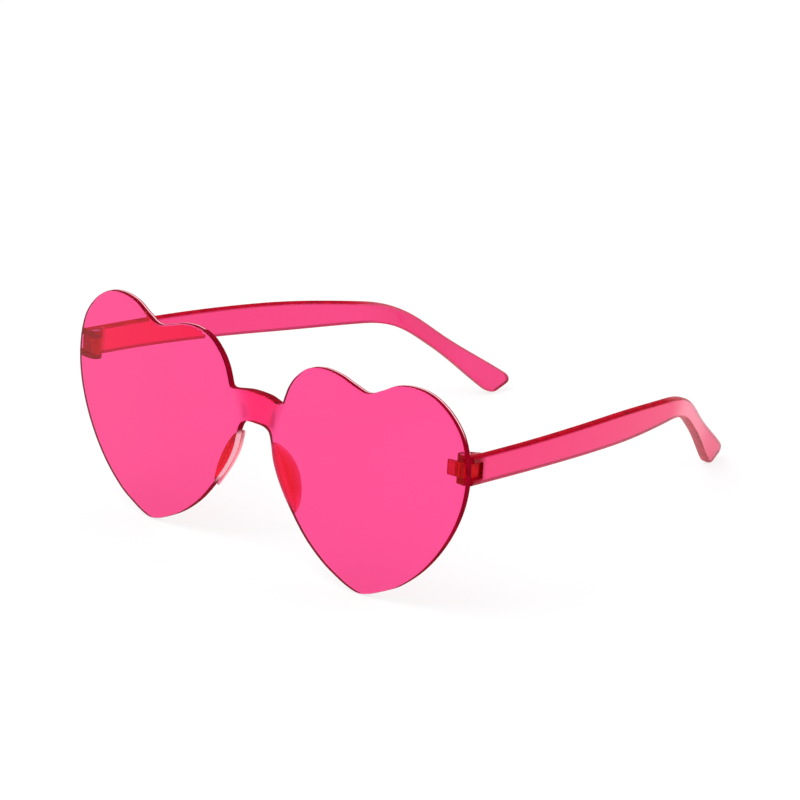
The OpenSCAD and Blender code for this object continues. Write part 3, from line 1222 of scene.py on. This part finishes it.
@dataclass
class Tongue:
    """The middle knuckle of a hinge, on its foot on the sheet.

    Attributes:
        hinge: The hinge's sizes.
        finish: Its plastic.
        bevel: Width of the rounded edges.
        sharp: Angle between faces from which an edge is rounded, in degrees.
        glue: Gap that the cement fills.
        satin: How satin its surface is, satin that glows bright red as painted light.
    """

    hinge: HingeShape
    finish: ClearPlastic
    bevel: float = 0.12 * MM
    sharp: float = 35.0
    glue: float = 0.02 * MM
    satin: float = 0.35

    def build(self, maker: Maker, side: Side) -> None:
        """Makes and dresses one tongue.

        Args:
            maker: Places and dresses it.
            side: Its side.
        """
        h = self.hinge
        face = h.front.rear_y
        px, py = h.pin
        r = h.barrel_radius - h.slot_gap
        out = px + h.pin_inset - h.edge_margin
        foot_in = out - h.foot_length
        outline = [(out, py + r), *arc((px, py), r, 90, 180, 14)]
        outline += [(x, face(x, h.foot_thickness)) for x in spread(px - r, foot_in, 8)]
        outline += [(x, face(x, self.glue)) for x in spread(foot_in, out, 16)]
        level, half = h.front.level, h.tongue_height / 2
        tongue = prism(outline, level - half, level + half, "tongue_" + side.word)
        edges = {"limit_method": "ANGLE", "angle_limit": math.radians(self.sharp)}
        modify(tongue, "BEVEL", {**edges, "width": self.bevel, "segments": 3})
        combine(tongue, Operation.CUT, prism(h.bore, level - 2 * half, level + 2 * half))
        # Painted light: the tongue is partly satin that glows bright red
        paint_edges(tongue, lambda normal, place: (self.satin, 0.0))
        round_shading(tongue)
        name = "hinge_tongue_" + side.word
        maker.dress(tongue, self.finish, side, "front", name)


@dataclass
class Temple:
    """A flat arm: a straight root with a fork, a bowed arm, a bend and a flared tip.

    Attributes:
        front: The front that it meets.
        hinge: The hinge's sizes.
        finish: Its plastic.
        length: Length along its middle line.
        thickness: Its thickness.
        stand_out: How far its outer face stands outside the front's edge.
        arm_height: Height half way back.
        neck_height: Height at its narrowest.
        tip_height: Height near its end.
        tip_slant: How far the end's upper corner reaches past the lower one.
        root_length: Length of the straight root.
        root_angle: Inward angle at the root.
        bow_angle: Further inward angle by the bend.
        tip_in_angle: Further inward angle of the tip.
        arm_drop_angle: Downward angle by the bend.
        tip_drop_angle: Further downward angle of the tip.
        tip_turn_angle: Turn of the tip about its own line, outer face downwards.
        edge_radius: Radius of its long edges.
        end_bevel: Radius of the edge round its end.
        bend_shares: Start and end of the bend along the length.
        waist_shares: Start and end of the narrowing.
        flare_share: Start of the widening to the tip.
        end_round_share: Length of the rounding at the end, as a share of the length.
        end_top_share: How much of that rounding the upper corner has.
        end_low_share: How much of it the lower corner has.
        fade: Where along Y the edges start and end growing paler with painted light.
        neck: Where along Y the painted sheen on the neck starts, is full, starts to end and has
            ended.
        hinge_reach: Distances from the screw where the fork's painted light starts and is full.
        end_marks: The two edge marks of its end, satin and painted light.
        top_pale: The satin that the upper edge loses past the bend, and the painted light it gains.
        low_satin: How satin the lower edge is.
        low_pale: The satin that that edge loses past the bend, and the painted light it gains.
        neck_painted_sheen: How much painted sheen, as pale satin, the neck's outer face gets.
        fork_painted_light: How much of the fork is red satin that glows, painted light.
        line_step: Greatest straight step of the middle line.
        ring_step: Spacing of the sections.
        end_length: Length before the end that is drawn with closer sections.
        end_rings: How many of them there are.
        corner_steps: Steps round a corner of a section.
        across_steps: Steps across it.
        up_steps: Steps up its sides.
    """

    front: FrontShape
    hinge: HingeShape
    finish: ClearPlastic
    length: float = 140 * MM
    thickness: float = 2.8 * MM
    stand_out: float = 0.5 * MM
    arm_height: float = 8.1 * MM
    neck_height: float = 4.6 * MM
    tip_height: float = 7.4 * MM
    tip_slant: float = 3.5 * MM
    root_length: float = 10 * MM
    root_angle: float = 2.4
    bow_angle: float = 17.4
    tip_in_angle: float = 6.0
    arm_drop_angle: float = 3.4
    tip_drop_angle: float = 31.5
    tip_turn_angle: float = 13.0
    edge_radius: float = 0.9 * MM
    end_bevel: float = 0.35 * MM
    bend_shares: Point2 = (0.632, 0.8)
    waist_shares: Point2 = (0.427, 0.821)
    flare_share: float = 0.825
    end_round_share: float = 0.022
    end_top_share: float = 0.75
    end_low_share: float = 0.4
    fade: Point2 = (90 * MM, 102 * MM)
    neck: tuple[float, ...] = (94 * MM, 106 * MM, 114 * MM, 128 * MM)
    hinge_reach: Point2 = (5 * MM, 3 * MM)
    end_marks: Marks = (0.6, 0.35)
    top_pale: Point2 = (0.25, 0.1)
    low_satin: float = 0.9
    low_pale: Point2 = (0.1, 0.16)
    neck_painted_sheen: float = 0.24
    fork_painted_light: float = 0.6
    line_step: float = 3.5 * MM
    ring_step: float = 1.25 * MM
    end_length: float = 4 * MM
    end_rings: int = 14
    corner_steps: int = 6
    across_steps: int = 3
    up_steps: int = 6

    @property
    def outer_x(self) -> float:
        """Where the outer face is at the hinge."""
        return self.front.edge_x + self.stand_out

    @property
    def start(self) -> Vector:
        """Where the middle line starts."""
        y = self.front.front_y(self.front.edge_x) + self.front.thickness
        return Vector((self.outer_x - self.thickness / 2, y, self.front.level))

    def _flare(self, s: float) -> float:
        """How far the arm has widened to its tip at a place along the line, from 0 to 1."""
        return rise(s, self.flare_share * self.length, self.length)

    def _angles(self, s: float) -> tuple[float, float, float]:
        """Yaw, pitch and turn at a place along the line.

        Args:
            s: The distance along the line.

        Returns:
            The three angles in radians.
        """
        bend = rise(s, *(share * self.length for share in self.bend_shares))
        bow = part_way(s, self.root_length, self.length * sum(self.bend_shares) / 2)
        yaw = self.root_angle + self.bow_angle * bow + self.tip_in_angle * bend
        pitch = self.arm_drop_angle * bow + self.tip_drop_angle * bend
        return math.radians(yaw), math.radians(pitch), -math.radians(self.tip_turn_angle * bend)

    def _along(self, s: float) -> Vector:
        """The line's direction.

        Args:
            s: The distance along the line.

        Returns:
            A direction one long.
        """
        yaw, pitch, _ = self._angles(s)
        level = math.cos(pitch)
        return Vector((-math.sin(yaw) * level, math.cos(yaw) * level, -math.sin(pitch)))

    def _path(self, s: float) -> Vector:
        """The line's place, by small straight steps.

        Args:
            s: The distance along the line.

        Returns:
            The place in the upright frame.
        """
        place = self.start + self._along(0) * min(s, self.root_length)
        bent = max(0.0, s - self.root_length)
        steps = max(1, math.ceil(bent / self.line_step))
        step = bent / steps
        for i in range(steps):
            place = place + self._along(self.root_length + step * (i + 0.5)) * step
        return place

    def _height(self, s: float) -> float:
        """The arm's height.

        Args:
            s: The distance along the line.

        Returns:
            The height, without the rounding of the end.
        """
        root = self.hinge.root_height
        narrowing, narrow = (share * self.length for share in self.waist_shares)
        height = root + (self.arm_height - root) * rise(s, self.root_length, narrowing)
        height += (self.neck_height - self.arm_height) * rise(s, narrowing, narrow)
        return height + (self.tip_height - self.neck_height) * self._flare(s)

    def _section(self, high: float, low: float, inset: float) -> list[Point2]:
        """A section across the arm, with round corners.

        Args:
            high: Its height above the middle line.
            low: Its height below that line.
            inset: How far it is drawn in all round.

        Returns:
            Points across and up, the same number for every section.
        """
        r = self.edge_radius - inset
        w = self.thickness / 2 - inset - r
        centres = ((w, high - r), (-w, high - r), (-w, r - low), (w, r - low))
        corners = [
            arc(centre, r, 90 * k, 90 * (k + 1), self.corner_steps)
            for k, centre in enumerate(centres)
        ]
        section: list[Point2] = []
        for k, corner in enumerate(corners):
            (x0, z0), (x1, z1) = corner[-1], corners[(k + 1) % 4][0]
            parts = self.up_steps if k % 2 else self.across_steps
            side = zip(spread(x0, x1, parts), spread(z0, z1, parts))
            section += [*corner, *list(side)[1:-1]]
        return section

    def _ring(self, s: float, inset: float = 0.0) -> Ring:
        """The section at a place along the line, in the upright frame.

        Args:
            s: The distance along the line.
            inset: How far the section is drawn in all round.

        Returns:
            The ring of points.
        """
        yaw, _, turn = self._angles(s)
        along = self._along(s)
        level_out = Vector((math.cos(yaw), math.sin(yaw), 0))
        steep_up = level_out.cross(along)
        out = level_out * math.cos(turn) + steep_up * math.sin(turn)
        up = steep_up * math.cos(turn) - level_out * math.sin(turn)
        half = self._height(s) / 2
        end_round = self.length * self.end_round_share
        into = part_way(s, self.length - end_round, self.length)
        drawn = end_round * (1 - math.sqrt(max(0.0, 1 - into * into)))
        high = half - drawn * self.end_top_share - inset
        low = half - drawn * self.end_low_share - inset
        slant = self._flare(s) * self.tip_slant / 2
        centre = self._path(s)
        return [
            centre + out * x + up * z + along * (slant * z / half)
            for x, z in self._section(high, low, inset)
        ]

    def _bar(self, name: str) -> bpy.types.Object:
        """Makes the whole arm without its fork.

        Args:
            name: The object's name.

        Returns:
            The arm, which starts a little before the middle line does.
        """
        rings = [self._ring(-self.thickness)]
        last = self.length - self.end_bevel
        s = 0.0
        while s < last - self.end_length:
            rings.append(self._ring(s))
            s += self.ring_step
        rings += [self._ring(t) for t in spread(s, last, self.end_rings)]
        for a in (math.radians(angle) for angle in spread(0, 90, 5)[1:]):
            drawn = self.end_bevel * (1 - math.cos(a))
            rings.append(self._ring(last + self.end_bevel * math.sin(a), drawn))
        return sweep(name, rings)

    def _edge_marks(self, normal: Vector, place: Vector) -> Marks:
        """Deep red edges that grow paler with painted light from the bend on, a painted sheen on
        the neck, and a red fork that glows with painted light.

        Args:
            normal: The surface's direction.
            place: A place on the temple.

        Returns:
            The two edge marks.
        """
        # Painted light: the end and, past the bend, the edges are paler
        paler = rise(place.y, *self.fade)
        if normal.y > 0.6:
            cut, painted_light = self.end_marks
        elif normal.z > 0:
            loses, gains = self.top_pale
            cut, painted_light = rise(normal.z, 0.0625, 0.6875) * (1 - loses * paler), gains * paler
        else:
            loses, gains = self.low_pale
            cut = self.low_satin * rise(-normal.z, 0.125, 0.75) * (1 - loses * paler)
            painted_light = gains * paler * rise(normal.x, -0.65, -0.4)
        # Painted sheen: the outer face of the neck is pale satin
        if normal.x > 0.5 and normal.y <= 0.6 and cut < 0.1:
            starts, full, ends, ended = self.neck
            neck = rise(place.y, starts, full) * rise(place.y, ended, ends)
            cut, painted_light = max(cut, self.neck_painted_sheen * neck), 1.0 if neck > 0 else 0.0
        # Painted light: the fork round the screw is red satin that glows
        distance = (place - Vector((*self.hinge.pin, place.z))).length
        return max(cut, self.fork_painted_light * rise(distance, *self.hinge_reach)), painted_light

    def _ear(self, low: float, high: float) -> bpy.types.Object:
        """Makes one ear of the fork.

        Args:
            low: The level of its lower face.
            high: The level of its upper face.

        Returns:
            The ear, with its barrel and the ramp that joins it to the arm.
        """
        px, py = self.hinge.pin
        r = self.hinge.barrel_radius
        ramp = 2 * r
        reach_in = self.outer_x - self.thickness - px
        over = reach_in + self.thickness / 2
        angle = math.degrees(math.atan2(ramp, reach_in) + math.acos(r / math.hypot(reach_in, ramp)))
        outline = arc((px, py), r, angle, 270, 20)
        outline += [(px + over, py - r), (px + over, py + ramp), (px + reach_in, py + ramp)]
        return prism(outline, low, high)

    def _before(self) -> bpy.types.Object:
        """Makes what the sheet and its gap take from the fork.

        Returns:
            A block whose rear follows the sheet, larger than the fork all round.
        """
        px, _ = self.hinge.pin
        inwards, outwards, ahead, half = 6 * MM, 8 * MM, 8 * MM, 9 * MM
        xs = spread(px - inwards, px + outwards, 40)
        outline = [(x, self.front.rear_y(x, self.hinge.stop_gap)) for x in xs]
        outline += [(xs[-1], -ahead), (xs[0], -ahead)]
        return prism(outline, self.front.level - half, self.front.level + half)

    def build(self, maker: Maker, side: Side) -> None:
        """Makes and dresses one temple.

        Args:
            maker: Places and dresses it.
            side: Its side.
        """
        h = self.hinge
        px, py = h.pin
        level = self.front.level
        over = 1 * MM
        bottom, top = level - h.root_height / 2, level + h.root_height / 2
        slot = h.tongue_height / 2 + h.slot_gap
        slot_rear = py + h.barrel_radius + h.slot_rear_gap
        x0, x1 = px - h.barrel_radius, px + h.pin_inset + self.thickness
        slot_plan = [(x0, 0.0), (x1, 0.0), (x1, slot_rear), (x0, slot_rear)]
        recess = circle((px, py), h.head_radius + h.head_gap)
        temple = self._bar("arm_" + side.word)
        ears = self._ear(level + slot, top), self._ear(bottom, level - slot)
        combine(temple, Operation.JOIN, *ears)
        combine(
            temple,
            Operation.CUT,
            self._before(),
            prism(slot_plan, level - slot, level + slot),
            prism(h.bore, bottom - over, top + over),
            prism(recess, top - h.head_height, top + over),
        )
        paint_edges(temple, self._edge_marks)
        round_shading(temple)
        name = "temple_" + side.word
        maker.dress(temple, self.finish, side, name, name)


@dataclass
class HingeScrew:
    """A slotted screw, built with Geometry Nodes.

    Attributes:
        hinge: The hinge's sizes.
        finish: Its steel.
        chamfer: Width of the chamfer round its head.
        facets: Steps round it.
    """

    hinge: HingeShape
    finish: Steel
    chamfer: float = 0.16 * MM
    facets: int = 48

    def _drum(self, tree: Tree, top: Value, low: Value, depth: Value, drop: Any) -> Value:
        """A cone or cylinder.

        Args:
            tree: The tree that it is made in.
            top: Its upper radius.
            low: Its lower radius.
            depth: Its height.
            drop: How far its top is below the head's top.

        Returns:
            Its geometry.
        """
        sizes = {"Vertices": self.facets, "Radius Top": top, "Radius Bottom": low, "Depth": depth}
        cone = tree.add("GeometryNodeMeshCone", {}, sizes, "Mesh")
        down = tree.add("ShaderNodeCombineXYZ", {}, {"Z": 0 - (depth + drop)})
        return tree.add("GeometryNodeTransform", {}, {"Geometry": cone, "Translation": down})

    @staticmethod
    def _boolean(tree: Tree, operation: Operation, inputs: dict[str, Value]) -> Value:
        """A Mesh Boolean node's mesh."""
        settings = {"operation": operation.value, "solver": "EXACT"}
        return tree.add("GeometryNodeMeshBoolean", settings, inputs, "Mesh")

    def build(self, maker: Maker, side: Side) -> None:
        """Makes and dresses one screw.

        Args:
            maker: Places and dresses it.
            side: Its side.
        """
        h = self.hinge
        rule = Rule(
            "slotted_screw",
            {
                "Shank Radius": h.screw_radius,
                "Shank Length": h.root_height - h.head_height * 0.5 - h.screw_radius / 3,
                "Head Radius": h.head_radius,
                "Head Height": h.head_height,
                "Chamfer": self.chamfer,
                "Slot Width": h.head_radius / 4,
                "Slot Depth": h.head_height / 2,
            },
        )
        tree = rule.tree
        shank, length, head, height, chamfer, slot_width, slot_depth = rule.size.values()
        solid = self._drum(tree, head - chamfer, head, chamfer, 0.0)
        for extra in (
            self._drum(tree, head, head, height - chamfer, chamfer),
            self._drum(tree, shank, shank, length, height * 0.5),
        ):
            both = self._boolean(tree, Operation.JOIN, {"Mesh 2": solid})
            # This socket takes a link from each mesh
            rule.group.links.new(extra.socket, both.socket.node.inputs["Mesh 2"])
            solid = both
        block = tree.add("ShaderNodeCombineXYZ", {}, [head * 4, slot_width, slot_depth * 2])
        slot = tree.add("GeometryNodeMeshCube", {}, {"Size": block}, "Mesh")
        solid = self._boolean(tree, Operation.CUT, {"Mesh 1": solid, "Mesh 2": slot})
        screw = new_object("screw_" + side.word, [Vector((0, 0, 0))], [])
        rule.shape(screw, solid, maker.material(self.finish))
        place = Vector((*h.pin, h.front.level + h.root_height / 2))
        screw.data.transform(Matrix.Translation(place))
        turn_outwards(screw)
        round_shading(screw)
        name = "temple_" + side.word
        maker.dress(screw, self.finish, side, name, "hinge_screw_" + side.word)


# Studio


@dataclass
class Camera:
    """The camera of the photograph, with a long lens, aimed at the middle of the picture.

    Attributes:
        standing: How the object stands.
        target_height: Height in the upright frame of the target, the point on the middle
            line that the angles are measured at.
        azimuth: Turn round the object from straight before it.
        elevation: Height over the hinge level.
        roll: Turn of the picture.
        distance: Distance from the target.
        focal_pixels: Focal length in pixels of the 800 pixel picture.
        target_pixel: Where the target is in the picture.
        picture: Width and height of the picture in pixels.
        sensor: Width of the sensor in millimetres.
        clip: The nearest and the farthest distance that shows.
    """

    standing: Standing
    target_height: float = 41 * MM
    azimuth: float = 46.31
    elevation: float = 16.18
    roll: float = 2.56
    distance: float = 1466.3 * MM
    focal_pixels: float = 5650.0
    target_pixel: Point2 = (255.03, 405.0)
    picture: float = 800.0
    sensor: float = 36.0
    clip: Point2 = (0.01, 100)

    def build(self) -> None:
        """Makes the camera and makes it the scene's."""
        a, e = math.radians(self.azimuth), math.radians(self.elevation)
        right = Vector((math.cos(a), math.sin(a), 0))
        back = Vector((math.sin(a) * math.cos(e), -math.cos(a) * math.cos(e), math.sin(e)))
        up = back.cross(right)
        roll = -math.radians(self.roll)
        across = right * math.cos(roll) - up * math.sin(roll)
        above = right * math.sin(roll) + up * math.cos(roll)
        dx = (self.picture / 2 - self.target_pixel[0]) / self.focal_pixels
        dy = (self.target_pixel[1] - self.picture / 2) / self.focal_pixels
        aim = (-back + across * dx + above * dy).normalized()
        across = (across - aim * across.dot(aim)).normalized()
        turn = Matrix((across, across.cross(aim), -aim)).transposed().to_4x4()
        target = Vector((0, 0, self.target_height))
        place = Matrix.Translation(target + back * self.distance)
        lens = bpy.data.cameras.new("camera")
        lens.sensor_width = self.sensor
        lens.lens = self.focal_pixels * self.sensor / self.picture
        lens.clip_start, lens.clip_end = self.clip
        camera = bpy.data.objects.new("camera", lens)
        camera.matrix_world = self.standing.matrix @ place @ turn
        bpy.context.scene.collection.objects.link(camera)
        bpy.context.scene.camera = camera
        log.info("camera at %s", tuple(round(v, 3) for v in camera.matrix_world.translation))


@dataclass
class Studio:
    """A white table under soft light.

    Attributes:
        table_size: Width of the table.
        table_colour: How pale the table is.
        table_glow: How much of the white that the camera sees comes from itself.
        fleck: Waves in a metre and detail of the table's dull flecks.
        dull: The table's roughness, and how much the flecks add.
        sky: Strength of the light from all round.
        lamps: Name, place, width and power of each lamp.
        aim: The point that the lamps point at.
    """

    table_size: float = 12.0
    table_colour: float = 0.9
    table_glow: float = 0.8
    fleck: Point2 = (300.0, 2.0)
    dull: Point2 = (0.6, 0.1)
    sky: float = 0.75
    lamps: tuple[tuple[str, Point3, float, float], ...] = (
        ("key", (-0.35, -0.5, 1.3), 1.0, 12.0),
        ("side", (1.2, 0.6, 0.9), 0.6, 5.0),
    )
    aim: Point3 = (0, 0, 0.02)

    @staticmethod
    def _seen(tree: Tree) -> Value:
        """Tells apart what the camera sees from what only lights the object.

        Args:
            tree: The tree that it is made in.

        Returns:
            1 for rays from the camera, reflections and light that passes through, else 0.
        """
        camera = tree.add("ShaderNodeLightPath", output="Is Camera Ray")
        others = tree.twin(camera, "Is Glossy Ray") + tree.twin(camera, "Is Transmission Ray")
        return (camera + others).within(0, 1)

    def _table(self) -> None:
        """Makes the table, which keeps the object's shadow."""
        half = self.table_size / 2
        corners = ((-half, -half, 0), (half, -half, 0), (half, half, 0), (-half, half, 0))
        table = new_object("table", [Vector(corner) for corner in corners], [(0, 1, 2, 3)])
        material = bpy.data.materials.new("white_table")
        tree = Tree.of(material)
        flecks = tree.noise(tree.add("ShaderNodeTexCoord", output="Object"), *self.fleck)
        c = self.table_colour
        least, more = self.dull
        rough = flecks * more + least
        matt = tree.principled(
            {"Base Color": (c, c, c, 1), "Roughness": rough, "Specular IOR Level": 0.2}
        )
        glow = tree.add("ShaderNodeEmission", {}, {"Color": (1, 1, 1, 1), "Strength": 1.0})
        both = tree.add("ShaderNodeMixShader", {}, [self._seen(tree) * self.table_glow, matt, glow])
        tree.add("ShaderNodeOutputMaterial", {}, {"Surface": both})
        table.data.materials.append(material)

    def _world(self) -> None:
        """Makes the light from all round, and the white that shows."""
        world = bpy.data.worlds.new("studio")
        bpy.context.scene.world = world
        tree = Tree.of(world)
        light, white = (
            tree.add("ShaderNodeBackground", {}, {"Color": (1, 1, 1, 1), "Strength": strength})
            for strength in (self.sky, 1.0)
        )
        both = tree.add("ShaderNodeMixShader", {}, [self._seen(tree), light, white])
        tree.add("ShaderNodeOutputWorld", {}, {"Surface": both})

    def _lamp(self, name: str, place: Vector, size: float, watts: float) -> None:
        """Makes one square soft lamp that points at the object.

        Args:
            name: The lamp's name.
            place: Where it is.
            size: Its width.
            watts: Its power.
        """
        lamp = bpy.data.lights.new(name, "AREA")
        lamp.shape = "SQUARE"
        lamp.size = size
        lamp.energy = watts
        thing = bpy.data.objects.new(name, lamp)
        turn = (place - Vector(self.aim)).to_track_quat("Z", "Y")
        thing.matrix_world = Matrix.Translation(place) @ turn.to_matrix().to_4x4()
        bpy.context.scene.collection.objects.link(thing)

    def build(self) -> None:
        """Makes the table, the world and the lamps."""
        self._table()
        self._world()
        for name, place, size, watts in self.lamps:
            self._lamp(name, Vector(place), size, watts)
        bpy.context.scene.view_settings.view_transform = "Standard"


def main() -> None:
    """Builds the sub-assemblies in order."""
    logging.basicConfig(level=logging.INFO, format="%(name)s: %(message)s")
    shape = FrontShape()
    hinge = HingeShape(shape)
    fold = next(joint for joint in frame["joints"] if joint["name"] == "temple_right_fold")
    standing = Standing.from_joint(fold, Vector((*hinge.pin, shape.level)))
    log.info("leans by %.3f degrees", standing.lean)
    sheet = ClearPlastic("pink_sheet", (9.0, 1110.0, 530.0))
    pad = ClearPlastic(
        "pink_pad", (50.0, 1300.0, 800.0), polish=0.035, ripple=8e-6, shine=(1.0, 0.9, 0.9)
    )
    # The hinge's satin is bright red and glows, painted light
    red = ClearPlastic(
        "red_hinge", (40.0, 2200.0, 1500.0), (0.6, 0.001, 0.012), shine=(0.8, 0.03, 0.04), glow=0.4
    )
    # The bar's satin glows too, painted light
    flat_bar = ClearPlastic(
        "pink_bar", (28.0, 975.0, 495.0), (0.36, 0.001, 0.012), shine=(0.8, 0.45, 0.45), glow=0.3
    )
    steel = Steel("screw_steel")
    maker = Maker(standing)
    Front(shape, sheet).build(maker)
    for side in Side:
        NosePad(shape, pad).build(maker, side)
        Tongue(hinge, red).build(maker, side)
        Temple(shape, hinge, flat_bar).build(maker, side)
        HingeScrew(hinge, steel).build(maker, side)
    Studio().build()
    Camera(standing).build()


if __name__ == "__main__":
    main()
